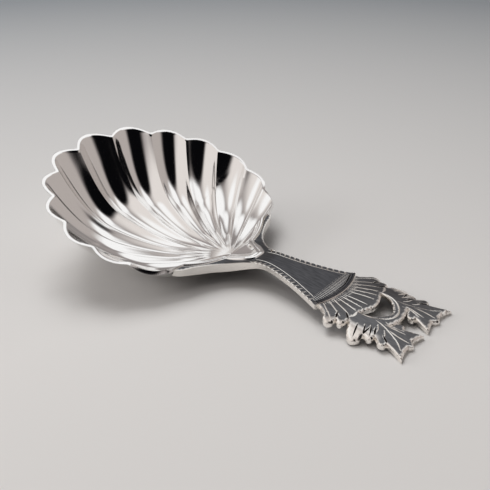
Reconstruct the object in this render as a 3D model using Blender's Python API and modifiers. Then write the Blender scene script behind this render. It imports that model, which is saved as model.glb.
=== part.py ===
"""Shell-bowl caddy spoon: a fluted sheet bowl lapped and soldered onto a pierced leaf handle.

Metres, +Z up. The spoon lies as it does on a table, on the underside of its bowl and on its two leaf
tips, with +X from the bowl to the leaves. The origin is at the bottom centre of the whole spoon.
"""
import math

import bmesh
import bpy
from mathutils import Matrix, Vector

# Bowl rim, in the bowl's own frame: rim plane at z = 0, tip at -X, heel at +X
RIM_HALF_LENGTH = 0.0212     # ellipse through the rim notches, along the spoon
RIM_HALF_WIDTH = 0.0231      # the same ellipse, across the spoon
NOTCH_ANGLES = (12.0, 35.5, 56.0, 76.5, 98.0, 117.5, 136.0)    # degrees from the tip, on each side
LOBE_SHARE = 0.250           # how far a lobe stands out past its notches, as a share of its flute's width
LOBE_ROUNDNESS = 0.80        # power of a lobe's sine arc: fuller below 1, slimmer above
HEEL_ANGLE = 145.0           # where the plain heel starts, between the handle's arms

# Bowl depth
FLOOR_DEPTH = 0.0091         # deepest ridge line under the rim plane
FLOOR_LOW_X = -0.005         # where the floor is deepest
FLOOR_ARC = 0.038            # radius of the floor along the spoon
FLOOR_ARC_ACROSS = 0.040     # radius of the floor across the spoon
WALL_SLOPE_ANGLE = 45.0      # degrees between the wall and the rim plane
WALL_BLEND = 0.006           # rounding between wall and floor at the tip
HEEL_BLEND = 0.0008          # tighter rounding at the heel
BLEND_RUN = 0.017            # length over which one rounding turns into the other
UMBO_X = 0.0182              # point that all the flutes run to
HEEL_ROOM = 0.0010           # how far the foot of the heel lies outside the notch ellipse
FLUTE_SHARE = 0.34           # hollow of a flute at the rim, as a share of its width
CREST_ROUNDING = 0.10        # softness of the crests between flutes, as a share of a lobe
FLUTE_FADE = 1.1             # power with which the flutes deepen from umbo to rim
RIM_LEVELLING = 3.2          # power with which the flutes come up to one level rim
SHEET = 0.00075              # thickness of the bowl's sheet

# Heel of the bowl, where the handle is soldered on
ARM_WIDTH = 0.0015           # the handle's arms, left bare beside the bowl
COLLAR_REACH = 0.0024        # how far the heel runs past the rim ellipse at the neck
COLLAR_RISE = 0.0017         # how high the heel stands over the rim plane at the neck
COLLAR_OUTER_ANGLE = 160.0   # where the collar starts to rise
COLLAR_INNER_ANGLE = 172.0   # where it is at its full height

# How the spoon lies
BOWL_TILT = 19.3             # degrees, tip up
FLAT_DEPTH = 0.00015         # wear flats where the spoon touches the table

# Handle plate, from the collar (x = 0) to the leaf tips
PLATE = 0.0010               # thickness
STEM_LENGTH = 0.0178         # collar to the arched moulding
NECK_AT = 0.0038             # narrowest place
NECK_HALF_WIDTH = 0.00305
STEM_END_HALF_WIDTH = 0.0070
STEM_FLARE = 1.6             # power of the flare
NECK_CREST_AT = 0.0042       # the handle's line, as rises over a straight chord from collar to tips
NECK_CREST_RISE = 0.0008
STEM_END_RISE = 0.00055
CROOK_AT = 0.0255
CROOK_RISE = 0.0011
SIDE_DROOP = 0.0008          # how far the leaf and fan edges bend down
SIDE_DROOP_START = 0.0020    # half width of the middle that stays level

# Yoke: the lap under the heel and the two arms beside it. An arm's outer edge is given by
# its angles from the bowl's tip and how far it lies outside the notch ellipse there
ARM_EDGE = ((137.5, -0.0003), (139.5, 0.0001), (143.0, 0.0001), (146.0, -0.0002), (150.0, -0.0005),
            (155.0, -0.0005), (161.0, 0.0))
ARM_TIP_WIDTH = 0.00075
LAP_WIDTH = 0.0026           # how far the handle reaches in under the heel
LAP_TAPER_ANGLE = 152.0      # where the lap starts to narrow towards the arm's tip
LAP_TAPER_WIDTH = 0.0018     # its width half way along that taper
NECK_SHOULDERS = ((-0.3, 1.55), (0.3, 1.14))    # arm into neck: shares of NECK_AT and NECK_HALF_WIDTH
ARM_DEPTH = 0.0016           # arm, from the rim plane down, at its outer edge
NECK_DEPTH = 0.0023          # the same at the neck
NECK_SPREAD = 0.0092         # half width over which the neck's depth runs out into the arms
LAP_SLOPE = 0.75             # how steeply the underside of the lap follows the bowl down
SOLDER_GAP = 0.0003

# Arched moulding at the end of the stem
ARCH_RISE = 0.00035          # height over the plate
ARCH_WIDTH = 0.0010
ARCH_SETBACK = 0.0006        # how far its ends lie behind the end of the stem
ARCH_BULGE = 0.0014          # how far its middle stands towards the leaves

# Terminal, measured from the end of the stem
TERMINAL_LENGTH = 0.0186
FAN_LENGTH = 0.00685         # to the cleft between the fan and the leaves
FAN_HALF_WIDTH = 0.0093
LEAF_HALF_WIDTH = 0.0100
TIP_HALF_WIDTH = 0.0095
INNER_TIP_HALF_GAP = 0.0008
INNER_TIP_SETBACK = 0.0003
LEAF_ROOT_HALF_WIDTH = 0.0036
LEAF_ROOT_SETBACK = 0.00065  # how far the fork of the leaves runs in beside the crescent
HOLE_HALF_WIDTH = 0.0040
HOLE_START = 0.0073          # corners of the pierced hole
FAN_EDGE_BULGE = 0.0012      # the fan's edge bows into the hole
HOLE_ROUNDNESS = 1.4         # power of the hole's arc: round at 1, more pointed above
CRESCENT_INNER = 0.0116      # far end of the hole
CRESCENT_OUTER = 0.0136      # far edge of the crescent

# Lobes of the fan and of a leaf, as shares of its length and half width, and whether the point is round
FAN_LOBES = ((0.09, 0.68, False), (0.32, 0.82, True), (0.53, 1.0, True), (0.69, 0.925, True),
             (0.71, 0.835, False), (0.85, 0.905, True), (0.95, 0.84, True), (1.0, 0.73, False))
LEAF_LOBES = ((0.175, 1.0, True), (0.285, 0.94, True), (0.315, 0.815, False), (0.41, 0.85, True),
              (0.46, 0.80, True), (0.46, 0.735, False), (0.61, 0.87, True), (0.67, 0.83, True),
              (0.68, 0.765, False), (0.83, 0.84, True))
# Lobes of a leaf's tip, as setbacks from the tip and shares of its half width
TIP_LOBES = ((0.0, 1.0, False), (0.0006, 0.78, True), (0.0007, 0.60, False), (0.0002, 0.525, True),
             (0.0010, 0.395, False))
# Curl on a leaf's inner edge, as shares of the fork's length from its root and of the root's half width
FORK_LOBES = ((0.42, 0.61, False), (0.35, 0.375, True), (0.175, 0.42, True))

# Mesh density
COLUMNS_PER_FLUTE = 8
ARM_COLUMNS = 4
HEEL_COLUMNS = 18
LAP_STEPS = 5
STEM_STEPS = 7
ARCH_STEPS = 5
HOLE_STEPS = 3
OUTLINE_STEPS = 3            # between two points of a curved outline
RING_STATIONS = (0.14, 0.20, 0.28, 0.36, 0.46, 0.56, 0.65, 0.73, 0.80, 0.86, 0.91, 0.955, 1.0)
DRAPE_STEP = 0.0020
DRAPE_STEP_ACROSS = 0.0040
MERGE = 1e-5                 # corners closer than this are one corner

SILVER_POLISHED = ((0.86, 0.85, 0.83, 1.0), 0.08)
SILVER_BRUSHED = ((0.62, 0.62, 0.63, 1.0), 0.30)


# Small maths

def ease(value, start, end):
    """Smooth step from 0 at start to 1 at end."""
    t = min(max((value - start) / (end - start), 0.0), 1.0)
    return t * t * (3.0 - 2.0 * t)


def smooth_min(a, b, radius):
    """The lower of two heights, with their corner rounded."""
    overlap = max(radius - abs(a - b), 0.0) / radius
    return min(a, b) - overlap * overlap * radius / 4.0


def smooth_line(stations, x):
    """Smooth curve through (x, value) stations."""
    last = len(stations) - 1
    i = 0
    while i < last - 1 and x > stations[i + 1][0]:
        i += 1
    (x0, v0), (x1, v1) = stations[i], stations[i + 1]

    def slope(k):
        low, high = stations[max(k - 1, 0)], stations[min(k + 1, last)]
        return (high[1] - low[1]) / (high[0] - low[0])

    if x < x0:
        return v0 + (x - x0) * slope(0)
    span = x1 - x0
    t = (x - x0) / span
    return ((2 * t**3 - 3 * t**2 + 1) * v0 + (t**3 - 2 * t**2 + t) * span * slope(i)
            + (3 * t**2 - 2 * t**3) * v1 + (t**3 - t**2) * span * slope(i + 1))


def finished_mesh(name, bm):
    """Mesh made from a finished bmesh."""
    mesh = bpy.data.meshes.new(name)
    bm.to_mesh(mesh)
    bm.free()
    return mesh


# Bowl shape

def scallop(place):
    """Round arc across a lobe, 0 at its notches and 1 in its middle."""
    reach = 0.5 - abs(place - 0.5)
    reach = math.hypot(reach, CREST_ROUNDING) - CREST_ROUNDING
    full = math.hypot(0.5, CREST_ROUNDING) - CREST_ROUNDING
    return math.sin(0.5 * math.pi * reach / full) ** LOBE_ROUNDNESS if reach > 0.0 else 0.0


def flute_width(start, end):
    """Width of a flute at the rim, square to the line from the umbo."""
    a, b = ellipse_point(start), ellipse_point(end)
    along = ((a + b) / 2.0 - Vector((UMBO_X, 0.0))).normalized()
    return abs(along.cross(b - a))


def rim_columns():
    """Angle, place across the flute and flute width of each line from the umbo to the rim."""
    columns = []
    notches = [-a for a in reversed(NOTCH_ANGLES)] + list(NOTCH_ANGLES)
    for start, end in zip(notches[:-1], notches[1:]):
        for i in range(COLUMNS_PER_FLUTE):
            place = i / COLUMNS_PER_FLUTE
            columns.append((start + (end - start) * place, place, flute_width(start, end)))
    plain = [notches[-1] + (HEEL_ANGLE - notches[-1]) * i / ARM_COLUMNS for i in range(ARM_COLUMNS)]
    plain += [HEEL_ANGLE + 2.0 * (180.0 - HEEL_ANGLE) * i / HEEL_COLUMNS for i in range(HEEL_COLUMNS)]
    plain += [HEEL_ANGLE + 2.0 * (180.0 - HEEL_ANGLE)]
    plain += [360.0 - a for a in reversed(plain[1:ARM_COLUMNS])]
    columns += [(angle, 0.0, 0.0) for angle in plain]
    return columns


def ellipse_point(angle, outset=0.0):
    """Plan point on the notch ellipse at an angle from the tip, moved out along its normal."""
    a = math.radians(angle)
    point = Vector((-RIM_HALF_LENGTH * math.cos(a), RIM_HALF_WIDTH * math.sin(a)))
    normal = Vector((point.x / RIM_HALF_LENGTH**2, point.y / RIM_HALF_WIDTH**2)).normalized()
    return point + normal * outset


def rim_inset(x, y):
    """How far a plan point lies inside the notch ellipse, which is longer at the heel."""
    half_length = RIM_HALF_LENGTH + (HEEL_ROOM if x > 0.0 else 0.0)
    mean_radius = (half_length + RIM_HALF_WIDTH) / 2.0
    return (1.0 - math.hypot(x / half_length, y / RIM_HALF_WIDTH)) * mean_radius


def dish_depth(x, y, outset=0.0, flute=0.0):
    """Depth of the bowl under its rim plane at a plan point."""
    wall = math.tan(math.radians(WALL_SLOPE_ANGLE)) * (rim_inset(x, y) + outset)
    floor = FLOOR_DEPTH + flute
    floor -= (x - FLOOR_LOW_X)**2 / (2.0 * FLOOR_ARC)
    floor -= y**2 / (2.0 * FLOOR_ARC_ACROSS)
    blend = HEEL_BLEND + (WALL_BLEND - HEEL_BLEND) * ease(UMBO_X - x, 0.0, BLEND_RUN)
    return smooth_min(wall, floor, blend)


def collar_share(angle):
    """0 along the arms, 1 across the neck."""
    return ease(min(angle, 360.0 - angle), COLLAR_OUTER_ANGLE, COLLAR_INNER_ANGLE)


def heel_share(angle):
    """0 at the last notch, 1 along the heel."""
    return ease(min(abs(angle), 360.0 - abs(angle)), NOTCH_ANGLES[-1], HEEL_ANGLE)


def heel_outset(angle):
    """Move of the bowl's edge at the heel: in beside the arms, out at the neck."""
    return -ARM_WIDTH * heel_share(angle) + (COLLAR_REACH + ARM_WIDTH) * collar_share(angle)


def bowl_point(column, share):
    """Point of the bowl's inner face on one column, at a share of the way from umbo to rim."""
    angle, place, width = column
    umbo = Vector((UMBO_X, 0.0, -dish_depth(UMBO_X, 0.0)))
    hollow = scallop(place)
    outset = LOBE_SHARE * width * hollow if width else heel_outset(angle)
    edge = ellipse_point(angle, outset)
    heel = umbo.lerp(Vector((edge.x, edge.y, 0.0 if width else COLLAR_RISE * collar_share(angle))), share)

    def depth(s):
        plan = umbo.xy.lerp(edge, s)
        return dish_depth(plan.x, plan.y, outset * s, FLUTE_SHARE * width * hollow * s**FLUTE_FADE)

    dish = Vector((heel.x, heel.y, depth(1.0) * share**RIM_LEVELLING - depth(share)))
    return dish.lerp(heel, heel_share(angle))


def bowl_surface(columns):
    """Open surface of the bowl through its columns, facing its hollow."""
    bm = bmesh.new()
    pole = bm.verts.new(bowl_point(columns[0], 0.0))
    rings = [[bm.verts.new(bowl_point(c, s)) for c in columns] for s in RING_STATIONS]
    for k in range(len(columns)):
        after = (k + 1) % len(columns)
        bm.faces.new((pole, rings[0][after], rings[0][k]))
        for inner, outer in zip(rings[:-1], rings[1:]):
            bm.faces.new((inner[k], inner[after], outer[after], outer[k]))
    bm.normal_update()
    if pole.normal.z < 0.0:
        bmesh.ops.reverse_faces(bm, faces=bm.faces)
    return bm


def move_out(verts, distance):
    """Move corners of the bowl outward on a plain dish's normals, which never cross as the flutes' do."""
    for v in verts:
        slope_x = 2.0 * FLOOR_DEPTH * v.co.x / RIM_HALF_LENGTH**2
        slope_y = 2.0 * FLOOR_DEPTH * v.co.y / RIM_HALF_WIDTH**2
        v.co += Vector((slope_x, slope_y, -1.0)).normalized() * distance


def bowl_sheet():
    """Closed sheet of the bowl: its inner surface, extruded outward."""
    bm = bowl_surface(rim_columns())
    extruded = bmesh.ops.extrude_face_region(bm, geom=bm.faces[:])["geom"]
    move_out([v for v in extruded if isinstance(v, bmesh.types.BMVert)], SHEET)
    bmesh.ops.recalc_face_normals(bm, faces=bm.faces)
    return finished_mesh("bowl", bm)


# Handle shape, in plan

def stem_half_width(x):
    """Half width of the stem between its neck and its end."""
    share = max((x - NECK_AT) / (STEM_LENGTH - NECK_AT), 0.0)
    return NECK_HALF_WIDTH + (STEM_END_HALF_WIDTH - NECK_HALF_WIDTH) * share**STEM_FLARE


def yoke_edge(collar_x, tilt):
    """Edge of the lap under the heel and of the arm, from the middle to the neck."""
    tip_angle, tip_outset = ARM_EDGE[0]
    edge = []
    for k in range(LAP_STEPS + 1):
        angle = 180.0 + (LAP_TAPER_ANGLE - 180.0) * k / LAP_STEPS
        edge.append(ellipse_point(angle, -LAP_WIDTH))
    edge.append(ellipse_point((LAP_TAPER_ANGLE + tip_angle) / 2.0, -LAP_TAPER_WIDTH))
    edge.append(ellipse_point(tip_angle, tip_outset - ARM_TIP_WIDTH))
    edge += [ellipse_point(angle, outset) for angle, outset in ARM_EDGE]
    edge = [(p.x * math.cos(tilt) - collar_x, p.y) for p in edge]
    edge += [(NECK_AT * along, NECK_HALF_WIDTH * across) for along, across in NECK_SHOULDERS]
    return edge


def stem_edge():
    """Edge of the stem, from the neck to the arched moulding."""
    stations = [NECK_AT + (STEM_LENGTH - NECK_AT) * k / STEM_STEPS for k in range(STEM_STEPS + 1)]
    return [(x, stem_half_width(x)) for x in stations]


def leaf_edge():
    """Half outline of fan, leaf and fork, from the end of the stem to the middle of the crescent."""
    leaf_length = TERMINAL_LENGTH - FAN_LENGTH
    root_x = CRESCENT_OUTER - LEAF_ROOT_SETBACK
    inner_tip = (TERMINAL_LENGTH - INNER_TIP_SETBACK, INNER_TIP_HALF_GAP, False)
    fork_length = inner_tip[0] - root_x
    edge = [(FAN_LENGTH * x, FAN_HALF_WIDTH * y, smooth) for x, y, smooth in FAN_LOBES]
    edge += [(FAN_LENGTH + leaf_length * x, LEAF_HALF_WIDTH * y, smooth) for x, y, smooth in LEAF_LOBES]
    edge += [(TERMINAL_LENGTH - x, TIP_HALF_WIDTH * y, smooth) for x, y, smooth in TIP_LOBES]
    edge.append(inner_tip)
    edge += [(root_x + fork_length * x, LEAF_ROOT_HALF_WIDTH * y, smooth) for x, y, smooth in FORK_LOBES]
    edge += [(root_x, LEAF_ROOT_HALF_WIDTH, False), (CRESCENT_OUTER, 0.0, True)]
    return [(x + STEM_LENGTH, y, smooth) for x, y, smooth in edge]


def hole_edge():
    """Half outline of the pierced hole, from the fan's edge to the crescent."""
    edge = [(HOLE_START + FAN_EDGE_BULGE, 0.0, True)]
    for k in range(HOLE_STEPS + 1):
        angle = 0.5 * math.pi * k / HOLE_STEPS
        x = HOLE_START + (CRESCENT_INNER - HOLE_START) * math.sin(angle)
        y = HOLE_HALF_WIDTH * max(math.cos(angle), 0.0)**HOLE_ROUNDNESS
        edge.append((x, y, k > 0))
    return [(x + STEM_LENGTH, y, smooth) for x, y, smooth in edge]


def add_spline(curve, points):
    """Closed Bezier spline through (x, y, smooth) points, with corners where smooth is False."""
    spline = curve.splines.new("BEZIER")
    spline.bezier_points.add(len(points) - 1)
    for bezier, (x, y, smooth) in zip(spline.bezier_points, points):
        bezier.co = (x, y, 0.0)
        bezier.handle_left_type = bezier.handle_right_type = "AUTO" if smooth else "VECTOR"
    spline.use_cyclic_u = True
    spline.resolution_u = OUTLINE_STEPS


def mirrored(half):
    """Whole outline from its half with y >= 0, whose first and last points lie on the axis."""
    other = [(x, -y, smooth) for x, y, smooth in reversed(half) if y > MERGE]
    return half + other


def flat_plate(name, outlines, thickness):
    """Flat plate with the given outlines, its top at z = 0."""
    curve = bpy.data.curves.new(name, "CURVE")
    curve.dimensions = "2D"
    curve.fill_mode = "BOTH"
    curve.extrude = thickness / 2.0
    for outline in outlines:
        add_spline(curve, outline)
    guide = bpy.data.objects.new(name, curve)
    bpy.context.scene.collection.objects.link(guide)
    bpy.context.view_layer.update()
    evaluated = guide.evaluated_get(bpy.context.evaluated_depsgraph_get())
    mesh = bpy.data.meshes.new_from_object(evaluated)
    bpy.data.objects.remove(guide)
    bm = bmesh.new()
    bm.from_mesh(mesh)
    bpy.data.meshes.remove(mesh)
    bmesh.ops.remove_doubles(bm, verts=bm.verts, dist=MERGE)
    bmesh.ops.translate(bm, verts=bm.verts, vec=(0.0, 0.0, -thickness / 2.0))
    return bm


def cut_into_strips(bm):
    """Cross cuts that let a flat plate bend smoothly."""
    lows = [min(v.co[i] for v in bm.verts) for i in range(2)]
    highs = [max(v.co[i] for v in bm.verts) for i in range(2)]
    for axis, step in ((0, DRAPE_STEP), (1, DRAPE_STEP_ACROSS)):
        normal = Vector((axis == 0, axis == 1, 0.0))
        for k in range(math.ceil(lows[axis] / step), math.floor(highs[axis] / step) + 1):
            everything = bm.verts[:] + bm.edges[:] + bm.faces[:]
            bmesh.ops.bisect_plane(bm, geom=everything, plane_co=normal * (k * step), plane_no=normal)
    bmesh.ops.dissolve_degenerate(bm, edges=bm.edges, dist=MERGE)
    bmesh.ops.triangulate(bm, faces=bm.faces)


class HandleLine:
    """Heights of the handle's upper and lower faces over the table."""

    def __init__(self, bowl_matrix, collar):
        self.collar = collar
        self.bowl_height = bowl_matrix.translation.z
        self.tilt = math.radians(BOWL_TILT)
        self.length = STEM_LENGTH + TERMINAL_LENGTH
        self.rises = [(0.0, 0.0), (NECK_CREST_AT, NECK_CREST_RISE), (STEM_LENGTH, STEM_END_RISE),
                      (CROOK_AT, CROOK_RISE), (self.length, 0.0)]

    def upper(self, x, y):
        """Upper face: the bent plate, or the bowl's rim plane where the arms lie beside it."""
        tip_height = PLATE - FLAT_DEPTH
        chord = self.collar.z + (tip_height - self.collar.z) * x / self.length
        plate = chord + smooth_line(self.rises, x)
        rim_plane = self.bowl_height - math.tan(self.tilt) * (self.collar.x + x)
        height = -smooth_min(-plate, -rim_plane, PLATE) if x < NECK_AT else plate
        beyond = abs(y) - SIDE_DROOP_START
        if x > STEM_LENGTH and beyond > 0.0:
            spread = ease(x, STEM_LENGTH, CROOK_AT) * (1.0 - ease(x, CROOK_AT, self.length))
            height -= SIDE_DROOP * spread * (beyond / STEM_END_HALF_WIDTH)**2
        return height

    def under_heel(self, x, y):
        """Lower face of the lap and the arms, following the wall of the bowl down."""
        across = self.collar.x + x
        plan_radius = math.hypot(across / math.cos(self.tilt) / RIM_HALF_LENGTH, y / RIM_HALF_WIDTH)
        inset = (1.0 - plan_radius) * RIM_HALF_LENGTH
        at_neck = 1.0 - ease(abs(y), NECK_HALF_WIDTH, NECK_SPREAD)
        depth = ARM_DEPTH + (NECK_DEPTH - ARM_DEPTH) * at_neck + LAP_SLOPE * inset
        return self.bowl_height - math.tan(self.tilt) * across - depth

    def lower(self, x, y):
        """Lower face: the plate's, deepened under the heel."""
        return smooth_min(self.upper(x, y) - PLATE, self.under_heel(x, y), PLATE)


def drape(bm, line, raise_top=0.0, sink=None):
    """Bend a flat plate onto the handle's line."""
    for v in bm.verts:
        is_top = v.co.z > -PLATE / 4.0
        x, y = v.co.x, v.co.y
        if is_top:
            v.co.z = line.upper(x, y) + raise_top
        elif sink is None:
            v.co.z = line.lower(x, y)
        else:
            v.co.z = line.upper(x, y) - sink


# Objects

def add_object(name, mesh, collection, parent, material=None):
    """Named object for a mesh, in its collection and under the spoon's empty."""
    obj = bpy.data.objects.new(name, mesh)
    collection.objects.link(obj)
    obj.parent = parent
    if material:
        obj.data.materials.clear()
        obj.data.materials.append(material)
    return obj


def add_cutter(name, mesh, collection, parent):
    """Object that only cuts others."""
    obj = add_object(name, mesh, collection, parent)
    obj.hide_render = True
    obj.display_type = "WIRE"
    return obj


def add_mirror(obj):
    """Mirror of a half that is open at the spoon's long axis."""
    modifier = obj.modifiers.new("mirror", "MIRROR")
    modifier.use_axis = (False, True, False)
    modifier.merge_threshold = MERGE


def add_boolean(obj, cutter, operation):
    """Exact Boolean on an object."""
    modifier = obj.modifiers.new(f"{operation.lower()}_{cutter.name}", "BOOLEAN")
    modifier.operation = operation
    modifier.object = cutter
    modifier.solver = "EXACT"


def silver(name, finish):
    """Silver with a colour and a roughness."""
    colour, roughness = finish
    material = bpy.data.materials.new(name)
    material.use_nodes = True
    shader = material.node_tree.nodes["Principled BSDF"]
    shader.inputs["Base Color"].default_value = colour
    shader.inputs["Metallic"].default_value = 1.0
    shader.inputs["Roughness"].default_value = roughness
    return material


def world_vertices(obj):
    """Corners of an object as it is evaluated, in world space."""
    bpy.context.view_layer.update()
    evaluated = obj.evaluated_get(bpy.context.evaluated_depsgraph_get())
    mesh = evaluated.to_mesh()
    corners = [obj.matrix_world @ v.co for v in mesh.vertices]
    evaluated.to_mesh_clear()
    return corners


def bowl_plug(matrix):
    """Everything the bowl fills or encloses, grown by the solder gap, to cut its seat in the handle."""
    bm = bowl_surface([(angle, 0.5, width) for angle, _, width in rim_columns()])
    move_out(bm.verts, SHEET + SOLDER_GAP)
    rim = [e for e in bm.edges if e.is_boundary]
    raised = bmesh.ops.extrude_edge_only(bm, edges=rim)["geom"]
    for v in raised:
        if isinstance(v, bmesh.types.BMVert):
            v.co.z = FLOOR_DEPTH
    bmesh.ops.holes_fill(bm, edges=[e for e in bm.edges if e.is_boundary])
    bmesh.ops.recalc_face_normals(bm, faces=bm.faces)
    bmesh.ops.transform(bm, matrix=matrix, verts=bm.verts)
    return finished_mesh("bowl_plug", bm)


def handle_blank(line, tilt):
    """Half of the pierced handle plate, open at the long axis and bent to its line."""
    edge = [(x, y, False) for x, y in yoke_edge(line.collar.x, tilt) + stem_edge()]
    outline = mirrored(edge + leaf_edge())
    hole = mirrored(hole_edge())
    bm = flat_plate("handle", [outline, hole], PLATE)
    cut_into_strips(bm)
    mirror_side = [f for f in bm.faces if f.calc_center_median().y < 0.0]
    bmesh.ops.delete(bm, geom=mirror_side, context="FACES")
    drape(bm, line)
    bmesh.ops.recalc_face_normals(bm, faces=bm.faces)
    bmesh.ops.translate(bm, verts=bm.verts, vec=(line.collar.x, 0.0, 0.0))
    return finished_mesh("handle", bm)


def arch_band(line):
    """Raised arched moulding across the end of the stem."""
    half = STEM_END_HALF_WIDTH - ARCH_WIDTH / 2.0
    back = STEM_LENGTH - ARCH_SETBACK
    places = [k / ARCH_STEPS for k in range(-ARCH_STEPS, ARCH_STEPS + 1)]
    rear = [(back + ARCH_BULGE * (1.0 - t * t), half * t, False) for t in places]
    front = [(x + ARCH_WIDTH, y, False) for x, y, _ in reversed(rear)]
    bm = flat_plate("arch_band", [rear + front], PLATE)
    bmesh.ops.triangulate(bm, faces=bm.faces)
    drape(bm, line, raise_top=ARCH_RISE, sink=PLATE / 2.0)
    bmesh.ops.recalc_face_normals(bm, faces=bm.faces)
    bmesh.ops.translate(bm, verts=bm.verts, vec=(line.collar.x, 0.0, 0.0))
    return finished_mesh("arch_band", bm)


def table_block(length):
    """Block under the table plane that cuts the wear flats."""
    bm = bmesh.new()
    bmesh.ops.create_cube(bm, size=2.0 * length, matrix=Matrix.Translation((0.0, 0.0, -length)))
    return finished_mesh("table", bm)


def build():
    """Make the spoon from its two pieces."""
    for obj in list(bpy.data.objects):
        bpy.data.objects.remove(obj)
    parts = bpy.data.collections.new("caddy_spoon")
    cutters = bpy.data.collections.new("cutters")
    for collection in (parts, cutters):
        bpy.context.scene.collection.children.link(collection)
    root = bpy.data.objects.new("caddy_spoon", None)
    parts.objects.link(root)

    tilt = math.radians(BOWL_TILT)
    bowl = add_object("bowl", bowl_sheet(), parts, root, silver("polished_silver", SILVER_POLISHED))
    bowl.rotation_euler.y = tilt
    bowl.location.z = -FLAT_DEPTH - min(v.z for v in world_vertices(bowl))
    bpy.context.view_layer.update()

    collar_edge = ellipse_point(180.0, COLLAR_REACH)
    collar = bowl.matrix_world @ Vector((collar_edge.x, 0.0, COLLAR_RISE))
    line = HandleLine(bowl.matrix_world, collar)
    handle = add_object("handle", handle_blank(line, tilt), parts, root,
                        silver("brushed_silver", SILVER_BRUSHED))

    table = add_cutter("table", table_block(4.0 * RIM_HALF_LENGTH + line.length), cutters, root)
    plug = add_cutter("bowl_plug", bowl_plug(bowl.matrix_world), cutters, root)
    arch = add_cutter("arch_band", arch_band(line), cutters, root)
    add_boolean(bowl, table, "DIFFERENCE")
    add_mirror(handle)
    add_boolean(handle, arch, "UNION")
    add_boolean(handle, plug, "DIFFERENCE")
    add_boolean(handle, table, "DIFFERENCE")

    along = [v.x for obj in (bowl, handle) for v in world_vertices(obj)]
    root.location.x = -(min(along) + max(along)) / 2.0
    bpy.context.view_layer.update()


build()
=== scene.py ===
import math

import bpy
from mathutils import Matrix, Vector, kdtree


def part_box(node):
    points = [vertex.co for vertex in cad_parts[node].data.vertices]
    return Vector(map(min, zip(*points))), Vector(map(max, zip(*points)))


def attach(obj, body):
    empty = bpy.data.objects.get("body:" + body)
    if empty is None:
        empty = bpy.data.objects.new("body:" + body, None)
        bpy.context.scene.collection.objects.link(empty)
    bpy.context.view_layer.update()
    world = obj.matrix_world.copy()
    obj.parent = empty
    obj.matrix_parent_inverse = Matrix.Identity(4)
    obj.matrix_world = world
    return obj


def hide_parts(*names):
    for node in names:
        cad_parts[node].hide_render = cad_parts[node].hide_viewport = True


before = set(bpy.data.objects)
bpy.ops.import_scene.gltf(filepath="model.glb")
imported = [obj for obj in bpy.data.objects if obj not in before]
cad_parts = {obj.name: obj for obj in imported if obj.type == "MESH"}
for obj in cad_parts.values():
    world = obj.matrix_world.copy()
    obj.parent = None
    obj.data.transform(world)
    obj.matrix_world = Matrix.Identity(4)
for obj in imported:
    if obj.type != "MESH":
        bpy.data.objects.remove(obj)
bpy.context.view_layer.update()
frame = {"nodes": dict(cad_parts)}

scene = bpy.context.scene
scene.view_settings.view_transform = "Standard"
print("frame loaded:", ", ".join(frame["nodes"]))

weldDistance = 1e-6    # metres, for the ends of curves and for slivers
fineWeld = 1e-7        # metres, for the bowl's close rings


# Small helpers

def selectOnly(obj):
    bpy.ops.object.select_all(action="DESELECT")
    obj.select_set(True)
    bpy.context.view_layer.objects.active = obj


def applyModifier(obj, kind, **settings):
    selectOnly(obj)
    modifier = obj.modifiers.new(kind.lower(), kind)
    for name, value in settings.items():
        setattr(modifier, name, value)
    bpy.ops.object.modifier_apply(modifier=modifier.name)


def facesOut(obj):    # recalculated normals, turned round where the closed mesh would have a negative volume
    selectOnly(obj)
    bpy.ops.object.mode_set(mode="EDIT")
    bpy.ops.mesh.select_all(action="SELECT")
    bpy.ops.mesh.normals_make_consistent(inside=False)
    bpy.ops.object.mode_set(mode="OBJECT")
    if sum(f.center.dot(f.normal) * f.area for f in obj.data.polygons) < 0.0:
        bpy.ops.object.mode_set(mode="EDIT")
        bpy.ops.mesh.flip_normals()
        bpy.ops.object.mode_set(mode="OBJECT")


def ease(value, start, end):    # smooth step from 0 at start to 1 at end
    t = min(max((value - start) / (end - start), 0.0), 1.0)
    return t * t * (3.0 - 2.0 * t)


def smoothMin(a, b, radius):    # the lower of two heights, with their corner rounded
    overlap = max(radius - abs(a - b), 0.0) / radius
    return min(a, b) - overlap * overlap * radius / 4.0


def hexLinear(code):    # sRGB hex to the linear colour that Blender's sockets hold
    channels = [int(code[i:i + 2], 16) / 255.0 for i in (1, 3, 5)]
    linear = [c / 12.92 if c <= 0.04045 else ((c + 0.055) / 1.055) ** 2.4 for c in channels]
    return (*linear, 1.0)


def addNode(tree, kind, inputs=None, **settings):
    node = tree.nodes.new(kind)
    for name, value in settings.items():
        setattr(node, name, value)
    for name, value in (inputs or {}).items():
        socket = node.inputs[name] if isinstance(name, int) else next(
            s for s in node.inputs if s.name == name and s.enabled)
        if isinstance(value, bpy.types.NodeSocket):
            tree.links.new(value, socket)
        else:
            socket.default_value = value
    return node


def newMaterial(name):
    material = bpy.data.materials.new(name)
    material.use_nodes = True
    tree = material.node_tree
    return material, tree, tree.nodes["Principled BSDF"]


def noisePattern(tree, sizes, detail, turn=(0.0, 0.0, 0.0)):    # noise with features of these sizes in mm
    place = addNode(tree, "ShaderNodeTexCoord").outputs["Object"]
    perMetre = [1000.0 / size for size in sizes]
    scaled = addNode(tree, "ShaderNodeMapping", {"Vector": place, "Scale": perMetre, "Rotation": turn})
    noise = addNode(tree, "ShaderNodeTexNoise", {"Vector": scaled.outputs["Vector"], "Scale": 1.0,
                                                 "Detail": detail})
    return noise.outputs["Fac"]


# Camera at the photograph's place and lens

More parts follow.
